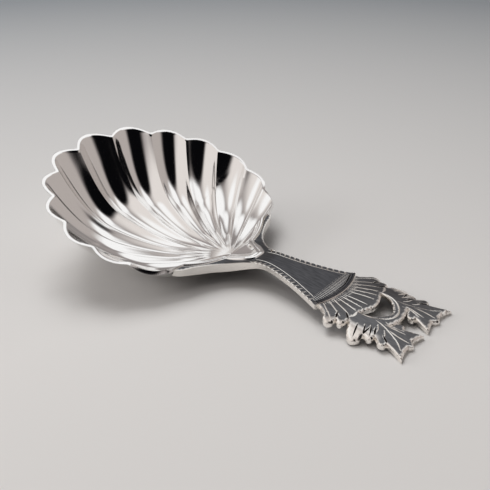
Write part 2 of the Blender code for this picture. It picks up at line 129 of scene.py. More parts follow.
cameraSetup = {
    "location": (0.08723, -0.11260, 0.07960),
    "turn": (62.33, 0.0, 37.15),    # degrees
    "lens": 60.6,                   # mm on a 36 mm sensor
    "clipStart": 0.005,
}
bpy.ops.object.camera_add(location=cameraSetup["location"],
                          rotation=[math.radians(a) for a in cameraSetup["turn"]])
camera = bpy.context.object
camera.data.lens = cameraSetup["lens"]
camera.data.clip_start = cameraSetup["clipStart"]
scene.camera = camera
print("camera placed")


# Materials

def polishedSilver():
    # Sterling silver, buffed to a mirror: bright, hardly warm, with wiping marks that soften its highlights
    material, tree, shader = newMaterial("polishedSilver")
    shader.inputs["Metallic"].default_value = 1.0
    shader.inputs["Base Color"].default_value = hexLinear("#F5F4F3")
    marks = noisePattern(tree, (4.0, 0.35, 0.35), 4.0, (0.0, 0.3, 0.5))    # long marks, slightly across
    rough = addNode(tree, "ShaderNodeMapRange", {"Value": marks, "From Min": 0.35, "From Max": 0.75,
                                                 "To Min": 0.06, "To Max": 0.12}).outputs["Result"]
    tree.links.new(rough, shader.inputs["Roughness"])
    bump = addNode(tree, "ShaderNodeBump", {"Height": marks, "Strength": 0.03, "Distance": 0.0001})
    tree.links.new(bump.outputs["Normal"], shader.inputs["Normal"])
    return material


def brushedSilver():
    # Sterling silver, stoned flat along its length and left to darken: a fine grey grain, turned pale by
    # the wear attribute: real wear on filed edges, painted sheen on tilted faces, bent lobes and side walls
    material, tree, shader = newMaterial("brushedSilver")
    shader.inputs["Metallic"].default_value = 1.0
    grain = noisePattern(tree, (6.0, 0.25, 0.25), 5.0)    # scratches along the handle
    tone = addNode(tree, "ShaderNodeValToRGB", {"Fac": grain})
    tone.color_ramp.elements[0].position = 0.3
    tone.color_ramp.elements[0].color = hexLinear("#47484C")
    tone.color_ramp.elements[1].position = 0.7
    tone.color_ramp.elements[1].color = hexLinear("#65666A")
    # pale where the wear attribute is high: real wear on filed edges, painted sheen on the rest
    wear = addNode(tree, "ShaderNodeAttribute", attribute_name="wear").outputs["Fac"]
    colour = addNode(tree, "ShaderNodeMix", {"Factor": wear, "A": tone.outputs["Color"],
                                             "B": hexLinear("#FAF6F1")}, data_type="RGBA")
    rough = addNode(tree, "ShaderNodeMapRange", {"Value": wear, "To Min": 0.32, "To Max": 0.25})
    tree.links.new(colour.outputs[2], shader.inputs["Base Color"])
    tree.links.new(rough.outputs["Result"], shader.inputs["Roughness"])
    bump = addNode(tree, "ShaderNodeBump", {"Height": grain, "Strength": 0.2, "Distance": 0.00005})
    tree.links.new(bump.outputs["Normal"], shader.inputs["Normal"])
    return material


def grooveShadeSilver():
    # Painted shade for the deep cuts: near black, dull, with a little brown where it thins
    material, tree, shader = newMaterial("grooveShadeSilver")
    shader.inputs["Metallic"].default_value = 1.0
    shader.inputs["Roughness"].default_value = 0.45
    tone = addNode(tree, "ShaderNodeValToRGB", {"Fac": noisePattern(tree, (0.8, 0.8, 0.8), 3.0)})
    tone.color_ramp.elements[0].color = hexLinear("#17171A")
    tone.color_ramp.elements[1].color = hexLinear("#3A3430")
    tree.links.new(tone.outputs["Color"], shader.inputs["Base Color"])
    return material


def brightCutSilver():
    # Sterling silver, cut with a polished graver: bare bright facets that flash against the darkened plate
    material, tree, shader = newMaterial("brightCutSilver")
    shader.inputs["Metallic"].default_value = 1.0
    shader.inputs["Base Color"].default_value = hexLinear("#EFECE7")
    chatter = noisePattern(tree, (0.5, 0.5, 0.5), 2.0)    # marks of the tool
    rough = addNode(tree, "ShaderNodeMapRange", {"Value": chatter, "To Min": 0.10, "To Max": 0.28})
    tree.links.new(rough.outputs["Result"], shader.inputs["Roughness"])
    return material


mirrorFinish = polishedSilver()
grainFinish = brushedSilver()
cutFinish = brightCutSilver()
paintedShadeFinish = grooveShadeSilver()
print("materials made")


# Bowl: one raised sheet, thirteen flutes that run to the umbo, and a plain heel between the handle's arms

bowlShape = {    # metres and degrees in the bowl's own frame, with its rim plane at z = 0 and its tip at -X
    "rimHalfLength": 0.0212, "rimHalfWidth": 0.0231,
    "notchAngles": (12.0, 35.5, 56.0, 76.5, 98.0, 117.5, 136.0),    # from the tip, on each side
    "lobeShare": 0.25, "lobeRoundness": 0.70, "heelAngle": 145.0,
    "floorDepth": 0.00925, "floorLowX": -0.0055, "floorArc": 0.040, "floorArcAcross": 0.045,
    "wallSlope": 47.0, "wallBlend": 0.005, "heelBlend": 0.0008, "blendRun": 0.017,
    "umboX": 0.0182, "heelRoom": 0.001, "heelRidge": 0.0006, "heelHollow": 0.0002, "collarBead": 0.0004,
    "ridgePower": 0.7, "beadStart": 0.72,    # ridges highest nearer the umbo, bead from this share outward
    "fluteShare": 0.26, "fluteStart": (0.08, 0.34), "crestRounding": 0.10, "rimLevelling": 2.8,
    "sheet": 0.00075, "rimRound": 0.00008, "rimWidth": 0.0007, "rimBand": 0.0016, "rimEnd": (0.008, 0.014),
    "armWidth": 0.0015, "collarReach": 0.0024, "collarRise": 0.0017, "collarAngles": (167.0, 178.0),
    "tilt": 19.3,
    "columnsPerFlute": 20, "armColumns": 24, "heelColumns": 60, "rings": 84, "ringCrowding": 0.6,
    "rimCuts": 3, "seatRings": 40, "smoothAngle": 40.0,
}


def scallop(place):    # round arc across a lobe: 0 at its notches, 1 in its middle
    rounding = bowlShape["crestRounding"]
    reach = math.hypot(0.5 - abs(place - 0.5), rounding) - rounding
    full = math.hypot(0.5, rounding) - rounding
    return math.sin(0.5 * math.pi * max(reach, 0.0) / full) ** bowlShape["lobeRoundness"]


def ellipsePoint(angle, outset=0.0):    # plan point on the notch ellipse, moved out along its normal
    a = math.radians(angle)
    length, width = bowlShape["rimHalfLength"], bowlShape["rimHalfWidth"]
    point = Vector((-length * math.cos(a), width * math.sin(a)))
    return point + Vector((point.x / length**2, point.y / width**2)).normalized() * outset


def fluteWidth(start, end):    # across a flute at the rim, square to its line from the umbo
    a, b = ellipsePoint(start), ellipsePoint(end)
    along = ((a + b) / 2.0 - Vector((bowlShape["umboX"], 0.0))).normalized()
    return abs(along.cross(b - a))


def rimColumns():    # angle, place across the flute and flute width of each line from umbo to rim
    notches = [-a for a in reversed(bowlShape["notchAngles"])] + list(bowlShape["notchAngles"])
    count, armCount, heelCount = (bowlShape[k] for k in ("columnsPerFlute", "armColumns", "heelColumns"))
    columns = []
    for start, end in zip(notches[:-1], notches[1:]):
        for i in range(count):
            columns.append((start + (end - start) * i / count, i / count, fluteWidth(start, end)))
    last, heel = notches[-1], bowlShape["heelAngle"]
    plain = [last + (heel - last) * i / armCount for i in range(armCount)]
    plain += [heel + 2.0 * (180.0 - heel) * i / heelCount for i in range(heelCount + 1)]
    plain += [360.0 - a for a in reversed(plain[1:armCount])]
    return columns + [(angle, 0.0, 0.0) for angle in plain]


def dishDepth(x, y, outset=0.0, flute=0.0):    # depth under the rim plane at a plan point
    halfLength = bowlShape["rimHalfLength"] + (bowlShape["heelRoom"] if x > 0.0 else 0.0)
    inset = 1.0 - math.hypot(x / halfLength, y / bowlShape["rimHalfWidth"])
    inset *= (halfLength + bowlShape["rimHalfWidth"]) / 2.0
    wall = math.tan(math.radians(bowlShape["wallSlope"])) * (inset + outset)
    floor = bowlShape["floorDepth"] + flute
    floor -= (x - bowlShape["floorLowX"])**2 / (2.0 * bowlShape["floorArc"])
    floor -= y**2 / (2.0 * bowlShape["floorArcAcross"])
    opened = ease(bowlShape["umboX"] - x, 0.0, bowlShape["blendRun"])
    blend = bowlShape["heelBlend"] + (bowlShape["wallBlend"] - bowlShape["heelBlend"]) * opened
    return smoothMin(wall, floor, blend)


def heelShare(angle):    # 0 at the last notch, 1 along the heel
    fromTip = min(abs(angle), 360.0 - abs(angle))
    return ease(fromTip, bowlShape["notchAngles"][-1], bowlShape["heelAngle"])


def collarShare(angle):    # 0 beside the arms, 1 across the neck
    return ease(min(angle, 360.0 - angle), *bowlShape["collarAngles"])


def bowlPoint(column, share, relief=1.0):    # point of the hollow side: share 0 at the umbo, 1 at the rim
    angle, place, width = column
    umbo = Vector((bowlShape["umboX"], 0.0, -dishDepth(bowlShape["umboX"], 0.0)))
    hollow = scallop(place)
    rise = 0.0
    if width:
        outset = bowlShape["lobeShare"] * width * hollow
    else:
        raised = collarShare(angle)
        outset = (bowlShape["collarReach"] + bowlShape["armWidth"]) * raised
        outset -= bowlShape["armWidth"] * heelShare(angle)
        rise = bowlShape["collarRise"] * raised
    edge = ellipsePoint(angle, outset)
    heel = umbo.lerp(Vector((edge.x, edge.y, rise)), share)

    def depth(s):
        plan = umbo.xy.lerp(edge, s)
        flute = bowlShape["fluteShare"] * width * hollow * s * ease(s, *bowlShape["fluteStart"])
        return dishDepth(plan.x, plan.y, outset * s, flute)

    dish = Vector((heel.x, heel.y, depth(1.0) * share ** bowlShape["rimLevelling"] - depth(share)))
    across = heelShare(angle)
    ridges = bowlShape["heelRidge"] * math.sin(2.0 * math.pi * across)**2
    ridges *= math.sin(math.pi * share ** bowlShape["ridgePower"])
    hollowed = bowlShape["heelHollow"] * across * math.sin(math.pi * share)
    bead = bowlShape["collarBead"] * across * math.sin(math.pi * ease(share, bowlShape["beadStart"], 1.0))
    return dish.lerp(heel, across) + Vector((0.0, 0.0, (ridges + bead - hollowed) * relief))


def plainNormal(co):    # outward normal of a plain dish, on which the sheet gets its thickness
    slopeX = 2.0 * bowlShape["floorDepth"] * co.x / bowlShape["rimHalfLength"]**2
    slopeY = 2.0 * bowlShape["floorDepth"] * co.y / bowlShape["rimHalfWidth"]**2
    return Vector((slopeX, slopeY, -1.0)).normalized()


def sheetOffset(co):    # way through the sheet: square to a plain dish, but level at the flat-ground rim
    level = Vector((co.x, co.y, 0.0)).normalized() * bowlShape["rimWidth"]
    through = plainNormal(co) * bowlShape["sheet"]
    plain = max(ease(-co.z, 0.0, bowlShape["rimBand"]), ease(co.x, *bowlShape["rimEnd"]))
    return level.lerp(through, plain)


def fluteSurface(name, columns, rings, outward=0.0, relief=1.0):    # open surface, from a plain grid
    bpy.ops.object.select_all(action="DESELECT")
    bpy.ops.mesh.primitive_grid_add(x_subdivisions=len(columns), y_subdivisions=rings, size=1.0)
    surface = bpy.context.object
    surface.name = surface.data.name = name
    for v in surface.data.vertices:
        column = columns[round((v.co.x + 0.5) * len(columns)) % len(columns)]
        share = v.co.y + 0.5
        share *= 1.0 + bowlShape["ringCrowding"] * (1.0 - share)    # rings closer together towards the rim
        v.co = bowlPoint(column, share, relief)
        v.co += plainNormal(v.co) * outward
    bpy.ops.object.mode_set(mode="EDIT")
    bpy.ops.mesh.remove_doubles(threshold=fineWeld)    # closes the seam and the pole
    bpy.ops.mesh.normals_make_consistent(inside=False)
    bpy.ops.object.mode_set(mode="OBJECT")
    return surface


def sheetFrom(surface):    # closed sheet with a round edge, from an open surface
    selectOnly(surface)
    bpy.ops.object.mode_set(mode="EDIT")
    bpy.ops.mesh.select_all(action="SELECT")
    bpy.ops.mesh.extrude_region()    # the new corners stay selected and become the back of the sheet
    bpy.ops.object.mode_set(mode="OBJECT")
    for v in surface.data.vertices:
        if v.select:
            v.co += sheetOffset(v.co)
    back = [v.select for v in surface.data.vertices]
    for edge in surface.data.edges:
        edge.select = back[edge.vertices[0]] != back[edge.vertices[1]]
    for part in (surface.data.vertices, surface.data.polygons):
        part.foreach_set("select", [False] * len(part))
    bpy.ops.object.mode_set(mode="EDIT")
    bpy.ops.mesh.select_mode(type="EDGE")
    bpy.ops.mesh.subdivide(number_cuts=bowlShape["rimCuts"])
    bpy.ops.object.mode_set(mode="OBJECT")
    for k, v in enumerate(surface.data.vertices):
        if k >= len(back):
            v.co += Vector((v.co.x, v.co.y, 0.0)).normalized() * bowlShape["rimRound"]
    bpy.ops.object.mode_set(mode="EDIT")
    bpy.ops.mesh.select_mode(type="VERT")
    bpy.ops.object.mode_set(mode="OBJECT")
    facesOut(surface)


def wearFlat(obj):    # the flat spots that the spoon stands on
    selectOnly(obj)
    bpy.ops.object.mode_set(mode="EDIT")
    bpy.ops.mesh.select_all(action="SELECT")
    bpy.ops.mesh.bisect(plane_co=(0.0, 0.0, 0.0), plane_no=(0.0, 0.0, 1.0), use_fill=True, clear_inner=True,
                        threshold=fineWeld)
    bpy.ops.object.mode_set(mode="OBJECT")


def finishPiece(obj, node, smoothAngle):
    selectOnly(obj)
    bpy.ops.object.shade_smooth_by_angle(angle=math.radians(smoothAngle))
    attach(obj, "root")
    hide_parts(node)


bowl = fluteSurface("fluted_bowl", rimColumns(), bowlShape["rings"])
sheetFrom(bowl)
tilt = math.radians(bowlShape["tilt"])
tipLobe = bowlPoint((0.0, 0.5, fluteWidth(-bowlShape["notchAngles"][0], bowlShape["notchAngles"][0])), 1.0)
tipBack = tipLobe + plainNormal(tipLobe) * bowlShape["sheet"]    # as in the CAD
bowlLow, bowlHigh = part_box("bowl")
bowlTurn = Matrix.Rotation(tilt, 4, "Y")
bowlPlace = Vector((bowlLow.x - (bowlTurn @ tipBack).x, 0.0, bowlHigh.z - (bowlTurn @ tipLobe).z))
bowl.data.transform(Matrix.Translation(bowlPlace) @ bowlTurn)
print("bowl's lowest point before wear:", round(min(v.co.z for v in bowl.data.vertices) * 1000.0, 3), "mm")
wearFlat(bowl)
bowl.data.materials.append(mirrorFinish)
finishPiece(bowl, "bowl", bowlShape["smoothAngle"])
print("bowl made:", len(bowl.data.polygons), "faces at", [round(c * 1000.0, 2) for c in bowlPlace])


# Handle: one plate, saw-pierced, bent, soldered under the heel and engraved

handleShape = {    # metres and degrees; x runs from the collar, where the bowl's heel ends, to the leaf tips
    "plate": 0.0010, "stemLength": 0.0178, "terminalLength": 0.0186,
    "neckAt": 0.0038, "neckHalfWidth": 0.00305, "stemEndHalfWidth": 0.0070, "stemFlare": 1.6,
    "crest": (0.0042, 0.0008), "stemEndRise": 0.00055, "crook": (0.0255, 0.0011),    # over a straight chord
    "sideDroop": 0.0008, "droopStart": 0.0020,
    "armEdge": ((137.5, -0.0003), (139.5, 0.0001), (143.0, 0.0001), (146.0, -0.0002), (150.0, -0.0005),
                (155.0, -0.0005), (161.0, 0.0)),    # angle from the bowl's tip, and place outside its notches
    "armTipWidth": 0.00075, "lapWidth": 0.0026, "lapTaperAngle": 152.0, "lapTaperWidth": 0.0018,
    "neckShoulders": ((-0.3, 1.55), (0.3, 1.14)),    # shares of neckAt and neckHalfWidth
    "armDepth": 0.0012, "neckDepth": 0.0021, "neckSpread": 0.0092, "lapSlope": 0.75,
    "seam": 0.0002, "wear": 0.00015,
    "edgeRound": 0.0001, "edgeSteps": ((0.35, 0.7), (0.65, 0.3)),    # shares in and up of two narrow insets
    "filedRound": 0.0004, "filedStart": (0.0005, 0.0015),            # start from the end of the stem
    "lobeBend": 0.0006, "lobeBendAcross": (0.0072, 0.0100), "lobeBendAlong": (0.0195, 0.022, 0.029, 0.032),
    "gridStep": 0.0003, "outlinePitch": 0.00005, "outlineSteps": 6, "lapSteps": 8, "stemSteps": 8,
    "smoothAngle": 30.0,
}
terminalShape = {    # metres from the end of the stem; lobes: shares of length and half width, True if round
    "fanLength": 0.00685, "fanHalfWidth": 0.0093, "leafHalfWidth": 0.0100, "tipHalfWidth": 0.0095,
    "innerTipSetback": 0.0003, "innerTipHalfGap": 0.0008,
    "leafRootSetback": 0.00065, "leafRootHalfWidth": 0.0036, "fanEdgeBulge": 0.0012,
    "holeStart": 0.0073, "holeHalfWidth": 0.0040, "holeRoundness": 1.4, "holeSteps": 5,
    "crescentInner": 0.0116, "crescentOuter": 0.0136,
    "fanLobes": ((0.09, 0.68, False), (0.32, 0.82, True), (0.53, 1.0, True), (0.69, 0.925, True),
                 (0.71, 0.835, False), (0.85, 0.905, True), (0.95, 0.84, True), (1.0, 0.73, False)),
    "leafLobes": ((0.175, 1.0, True), (0.285, 0.94, True), (0.315, 0.815, False), (0.41, 0.85, True),
                  (0.46, 0.80, True), (0.46, 0.735, False), (0.61, 0.87, True), (0.67, 0.83, True),
                  (0.68, 0.765, False), (0.83, 0.84, True)),
    "tipLobes": ((0.0, 1.0, False), (0.0006, 0.78, True), (0.0007, 0.60, False), (0.0002, 0.525, True),
                 (0.0010, 0.395, False)),    # setbacks from the tip
    "forkLobes": ((0.42, 0.61, False), (0.35, 0.375, True), (0.175, 0.42, True)),    # from the fork's root
}
collar = Vector((bowlShape["rimHalfLength"] + bowlShape["collarReach"], 0.0, bowlShape["collarRise"]))
collar = bowlTurn @ collar + bowlPlace
handleLength = handleShape["stemLength"] + handleShape["terminalLength"]


def smoothLine(stations, x):    # smooth curve through (x, value) stations
    last = len(stations) - 1
    i = 0
    while i < last - 1 and x > stations[i + 1][0]:
        i += 1
    (x0, v0), (x1, v1) = stations[i], stations[i + 1]

    def slope(k):
        low, high = stations[max(k - 1, 0)], stations[min(k + 1, last)]
        return (high[1] - low[1]) / (high[0] - low[0])

    if x < x0:
        return v0 + (x - x0) * slope(0)
    span = x1 - x0
    t = (x - x0) / span
    return ((2 * t**3 - 3 * t**2 + 1) * v0 + (t**3 - 2 * t**2 + t) * span * slope(i)
            + (3 * t**2 - 2 * t**3) * v1 + (t**3 - t**2) * span * slope(i + 1))


handleRises = [(0.0, 0.0), handleShape["crest"], (handleShape["stemLength"], handleShape["stemEndRise"]),
               handleShape["crook"], (handleLength, 0.0)]


def lobeBendShare(x):    # 1 along the lobes that are bent down at the sides of fan and leaves
    fanStart, fanEnd, leafStart, leafEnd = handleShape["lobeBendAlong"]
    return ease(x, fanStart, fanEnd) * (1.0 - ease(x, leafStart, leafEnd))


def upperFace(x, y):    # height of the handle's top: the bent plate, or the rim plane where the arms lie
    chord = collar.z + (handleShape["plate"] - handleShape["wear"] - collar.z) * x / handleLength
    height = chord + smoothLine(handleRises, x)
    if x < handleShape["neckAt"]:
        rimPlane = bowlPlace.z - math.tan(tilt) * (collar.x - bowlPlace.x + x)
        height = -smoothMin(-height, -rimPlane, handleShape["plate"])
    beyond = abs(y) - handleShape["droopStart"]
    if x > handleShape["stemLength"] and beyond > 0.0:
        crookAt = handleShape["crook"][0]
        spread = ease(x, handleShape["stemLength"], crookAt) * (1.0 - ease(x, crookAt, handleLength))
        height -= handleShape["sideDroop"] * spread * (beyond / handleShape["stemEndHalfWidth"])**2
        height -= handleShape["lobeBend"] * lobeBendShare(x) * ease(abs(y), *handleShape["lobeBendAcross"])
    return height


def lowerFace(x, y):    # the plate's underside, deepened under the heel
    across = collar.x - bowlPlace.x + x
    radius = math.hypot(across / math.cos(tilt) / bowlShape["rimHalfLength"], y / bowlShape["rimHalfWidth"])
    atNeck = 1.0 - ease(abs(y), handleShape["neckHalfWidth"], handleShape["neckSpread"])
    depth = handleShape["armDepth"] + (handleShape["neckDepth"] - handleShape["armDepth"]) * atNeck
    depth += handleShape["lapSlope"] * (1.0 - radius) * bowlShape["rimHalfLength"]
    underHeel = bowlPlace.z - math.tan(tilt) * across - depth
    return smoothMin(upperFace(x, y) - handleShape["plate"], underHeel, handleShape["plate"])


def stemHalfWidth(x):
    share = max((x - handleShape["neckAt"]) / (handleShape["stemLength"] - handleShape["neckAt"]), 0.0)
    widening = handleShape["stemEndHalfWidth"] - handleShape["neckHalfWidth"]
    return handleShape["neckHalfWidth"] + widening * share ** handleShape["stemFlare"]


def yokeEdge():    # lap under the heel and arm beside it, from the middle to the neck
    tipAngle, tipOutset = handleShape["armEdge"][0]
    taper = handleShape["lapTaperAngle"]
    edge = []
    count = handleShape["lapSteps"]
    for k in range(count + 1):
        edge.append(ellipsePoint(180.0 + (taper - 180.0) * k / count, -handleShape["lapWidth"]))
    edge.append(ellipsePoint((taper + tipAngle) / 2.0, -handleShape["lapTaperWidth"]))
    edge.append(ellipsePoint(tipAngle, tipOutset - handleShape["armTipWidth"]))
    edge += [ellipsePoint(angle, outset) for angle, outset in handleShape["armEdge"]]
    edge = [(p.x * math.cos(tilt) - collar.x + bowlPlace.x, p.y, True) for p in edge]
    shoulders = [(handleShape["neckAt"] * x, handleShape["neckHalfWidth"] * y, True)
                 for x, y in handleShape["neckShoulders"]]
    return edge + shoulders


def stemEdge():
    span = handleShape["stemLength"] - handleShape["neckAt"]
    count = handleShape["stemSteps"]
    stations = [handleShape["neckAt"] + span * k / count for k in range(count + 1)]
    return [(x, stemHalfWidth(x), k < count) for k, x in enumerate(stations)]


def leafEdge():    # fan, leaf and fork, from the end of the stem to the middle of the crescent
    shape = terminalShape
    length = handleShape["terminalLength"]
    rootX = shape["crescentOuter"] - shape["leafRootSetback"]
    tipX = length - shape["innerTipSetback"]
    edge = [(shape["fanLength"] * x, shape["fanHalfWidth"] * y, r) for x, y, r in shape["fanLobes"]]
    edge += [(shape["fanLength"] + (length - shape["fanLength"]) * x, shape["leafHalfWidth"] * y, r)
             for x, y, r in shape["leafLobes"]]
    edge += [(length - x, shape["tipHalfWidth"] * y, r) for x, y, r in shape["tipLobes"]]
    edge.append((tipX, shape["innerTipHalfGap"], False))
    edge += [(rootX + (tipX - rootX) * x, shape["leafRootHalfWidth"] * y, r)
             for x, y, r in shape["forkLobes"]]
    edge += [(rootX, shape["leafRootHalfWidth"], False), (shape["crescentOuter"], 0.0, True)]
    return [(x + handleShape["stemLength"], y, r) for x, y, r in edge]


def holeEdge():    # from the fan's edge round to the crescent
    shape = terminalShape
    edge = [(shape["holeStart"] + shape["fanEdgeBulge"], 0.0, True)]
    for k in range(shape["holeSteps"] + 1):
        angle = 0.5 * math.pi * k / shape["holeSteps"]
        x = shape["holeStart"] + (shape["crescentInner"] - shape["holeStart"]) * math.sin(angle)
        edge.append((x, shape["holeHalfWidth"] * max(math.cos(angle), 0.0) ** shape["holeRoundness"], k > 0))
    return [(x + handleShape["stemLength"], y, r) for x, y, r in edge]


def bothSides(half):    # whole outline from its half with y >= 0
    return half + [(x, -y, r) for x, y, r in reversed(half) if y > weldDistance]


def curveObject(name, dimensions):
    curve = bpy.data.curves.new(name, "CURVE")
    curve.dimensions = dimensions
    obj = bpy.data.objects.new(name, curve)
    scene.collection.objects.link(obj)
    return obj


def toMesh(obj):    # curve object to a closed mesh with its normals out
    selectOnly(obj)
    bpy.ops.object.convert(target="MESH")
    bpy.ops.object.mode_set(mode="EDIT")
    bpy.ops.mesh.select_all(action="SELECT")
    bpy.ops.mesh.remove_doubles(threshold=weldDistance)
    bpy.ops.object.mode_set(mode="OBJECT")
    facesOut(obj)


def sawnPlate():    # flat plate with its outline and its hole, top at z = 0 and underside at z = -plate
    plate = curveObject("leaf_handle", "2D")
    plate.data.fill_mode = "BOTH"
    plate.data.extrude = handleShape["plate"] / 2.0
    for outline in (bothSides(yokeEdge() + stemEdge() + leafEdge()), bothSides(holeEdge())):
        spline = plate.data.splines.new("BEZIER")
        spline.bezier_points.add(len(outline) - 1)
        for point, (x, y, isRound) in zip(spline.bezier_points, outline):
            point.co = (x, y, 0.0)
            point.handle_left_type = point.handle_right_type = "AUTO" if isRound else "VECTOR"
        spline.use_cyclic_u = True
        spline.resolution_u = handleShape["outlineSteps"]
    toMesh(plate)
    plate.data.transform(Matrix.Translation((0.0, 0.0, -handleShape["plate"] / 2.0)))
    return plate


def roundEdges(plate):    # filed top edges: two narrow insets, with the outline let down beside them
    step = handleShape["edgeRound"]
    for v in plate.data.vertices:
        v.select = False
    for face in plate.data.polygons:
        face.select = face.normal.z > 0.9    # the top
    bpy.ops.object.mode_set(mode="EDIT")
    bpy.ops.mesh.select_mode(type="FACE")
    for share, lift in handleShape["edgeSteps"]:
        bpy.ops.mesh.inset(thickness=step * share, use_boundary=True, use_even_offset=True)
        bpy.ops.transform.translate(value=(0.0, 0.0, step * lift))
    bpy.ops.object.mode_set(mode="OBJECT")
    plate.data.transform(Matrix.Translation((0.0, 0.0, -step)))


def cutGrid(plate):    # cross cuts that let the plate bend smoothly
    step = handleShape["gridStep"]
    bpy.ops.object.mode_set(mode="EDIT")
    bpy.ops.mesh.select_mode(type="VERT")
    for axis in (0, 1):
        places = [v.co[axis] for v in plate.data.vertices]
        for k in range(math.ceil(min(places) / step), math.floor(max(places) / step) + 1):
            bpy.ops.mesh.select_all(action="SELECT")
            bpy.ops.mesh.bisect(plane_co=[step * k * (i == axis) for i in range(3)],
                                plane_no=[float(i == axis) for i in range(3)])
    bpy.ops.mesh.select_all(action="SELECT")
    bpy.ops.mesh.dissolve_degenerate(threshold=weldDistance)
    bpy.ops.mesh.select_all(action="SELECT")
    bpy.ops.mesh.quads_convert_to_tris()
    bpy.ops.object.mode_set(mode="OBJECT")


def isWall(face):    # stands rather than lies
    return abs(face.normal.z) < 0.5


def outlineOf(plate):    # tree of close points along the sawn outline, from the plate's side walls
    corners = [v.co.xy for v in plate.data.vertices]
    points = []
    for face in filter(isWall, plate.data.polygons):
        spans = [(corners[i], corners[j]) for i, j in face.edge_keys]
        a, b = max(spans, key=lambda span: (span[1] - span[0]).length)
        count = math.ceil((b - a).length / handleShape["outlinePitch"])
        points += [a.lerp(b, k / count) for k in range(count)]
    tree = kdtree.KDTree(len(points))
    for k, point in enumerate(points):
        tree.insert((*point, 0.0), k)
    tree.balance()
    return tree


def edgeDistance(x, y):    # plan distance to the sawn outline
    return outlineTree.find((x, y, 0.0))[2]


def filedDrop(x, y):    # how far the rounded edges of fan and leaves lie under the plate's top
    r = handleShape["filedRound"]
    inside = max(r - edgeDistance(x, y), 0.0)
    share = ease(x - handleShape["stemLength"], *handleShape["filedStart"])
    return share * (r - math.sqrt(max(r * r - inside * inside, 0.0)))


def bendPlate(plate):    # lay the flat plate onto the handle's line
    for v in plate.data.vertices:
        x, y, level = v.co
        if level < -0.5 * handleShape["plate"]:
            height = lowerFace(x, y)
        else:
            height = upperFace(x, y) + level - filedDrop(x, y)
        v.co = (x + collar.x, y, height)


wearAndSheenMarks = {    # metres, degrees of tilt, and shares of full wear and painted sheen
    "armEdge": (0.0001, 0.0003), "leafEdge": (0.0, 0.00025), "leafEdgeShare": 0.8, "leafShare": 0.05,
    "tilt": (15.0, 28.0), "lobeStarts": (0.0078, 0.0064), "lobeRun": 0.0012,    # of fan and of leaves
    "leafSetback": 0.0008, "sideShare": 0.70, "sideStart": -0.010,
}


def wearAndSheenShare(x, y, up):    # 1 where the top is made pale: worn filed edges, and painted sheen on tilted faces and bent lobes
    # the arms' top edges are made pale: wear together with a painted highlight
    if x < handleShape["neckAt"] and up > 0.0:
        return 1.0 - ease(edgeDistance(x, y), *wearAndSheenMarks["armEdge"])
    if x <= archRear(y * 1000.0) / 1000.0 + archShape["width"] or up <= 0.0:
        return 0.0
    # painted sheen: the more a face tilts from level, the paler it is made
    tilted = ease(math.degrees(math.acos(min(up, 1.0))), *wearAndSheenMarks["tilt"])
    onFan = x < handleShape["crook"][0] - wearAndSheenMarks["leafSetback"]
    lobeStart = wearAndSheenMarks["lobeStarts"][0 if onFan else 1]
    # painted sheen on the lobes bent down at the sides
    lobe = lobeBendShare(x) * ease(abs(y), lobeStart, lobeStart + wearAndSheenMarks["lobeRun"])
    filed = wearAndSheenMarks["leafEdgeShare"] * (1.0 - ease(edgeDistance(x, y), *wearAndSheenMarks["leafEdge"]))
    return max(wearAndSheenMarks["leafShare"], tilted, lobe, filed)


def markWearAndSheen(obj):    # wear and painted sheen of every face corner, with the side walls painted brightest beyond the neck
    mesh = obj.data
    rubbedAndSheen = [wearAndSheenShare(v.co.x - collar.x, v.co.y, normal.vector.z)
              for v, normal in zip(mesh.vertices, mesh.vertex_normals)]
    wear = mesh.attributes.new("wear", "FLOAT", "CORNER")
    for face in mesh.polygons:
        for k in face.loop_indices:
            corner = mesh.loops[k].vertex_index
            # side walls: painted sheen, a little darker beside the bowl and full beyond the neck
            if isWall(face):
                x = mesh.vertices[corner].co.x - collar.x
                alongArm = ease(x, wearAndSheenMarks["sideStart"], handleShape["neckAt"])
                wear.data[k].value = wearAndSheenMarks["sideShare"] + (1.0 - wearAndSheenMarks["sideShare"]) * alongArm
            else:
                wear.data[k].value = rubbedAndSheen[corner]


handle = sawnPlate()
outlineTree = outlineOf(handle)
roundEdges(handle)
cutGrid(handle)
bendPlate(handle)
print("plate bent:", len(handle.data.polygons), "faces")

seatColumns = [(angle, 0.5, width) for angle, _, width in rimColumns()]    # as deep as the flutes' middles
seatCutter = fluteSurface("seatCutter", seatColumns, bowlShape["seatRings"],
                          bowlShape["sheet"] + handleShape["seam"], relief=0.0)
selectOnly(seatCutter)
bpy.ops.object.mode_set(mode="EDIT")
bpy.ops.mesh.select_all(action="DESELECT")
bpy.ops.mesh.select_non_manifold()
bpy.ops.mesh.extrude_edges_move(TRANSFORM_OT_translate={"value": (0.0, 0.0, bowlShape["floorDepth"])})
bpy.ops.mesh.edge_face_add()
bpy.ops.object.mode_set(mode="OBJECT")
facesOut(seatCutter)
seatCutter.data.transform(Matrix.Translation(bowlPlace) @ bowlTurn)
applyModifier(handle, "BOOLEAN", object=seatCutter, operation="DIFFERENCE", solver="EXACT")
bpy.data.objects.remove(seatCutter)
handle.data.materials.append(grainFinish)
print("seat cut:", len(handle.data.polygons), "faces")


# Arched moulding, engraving and solder bead of the handle

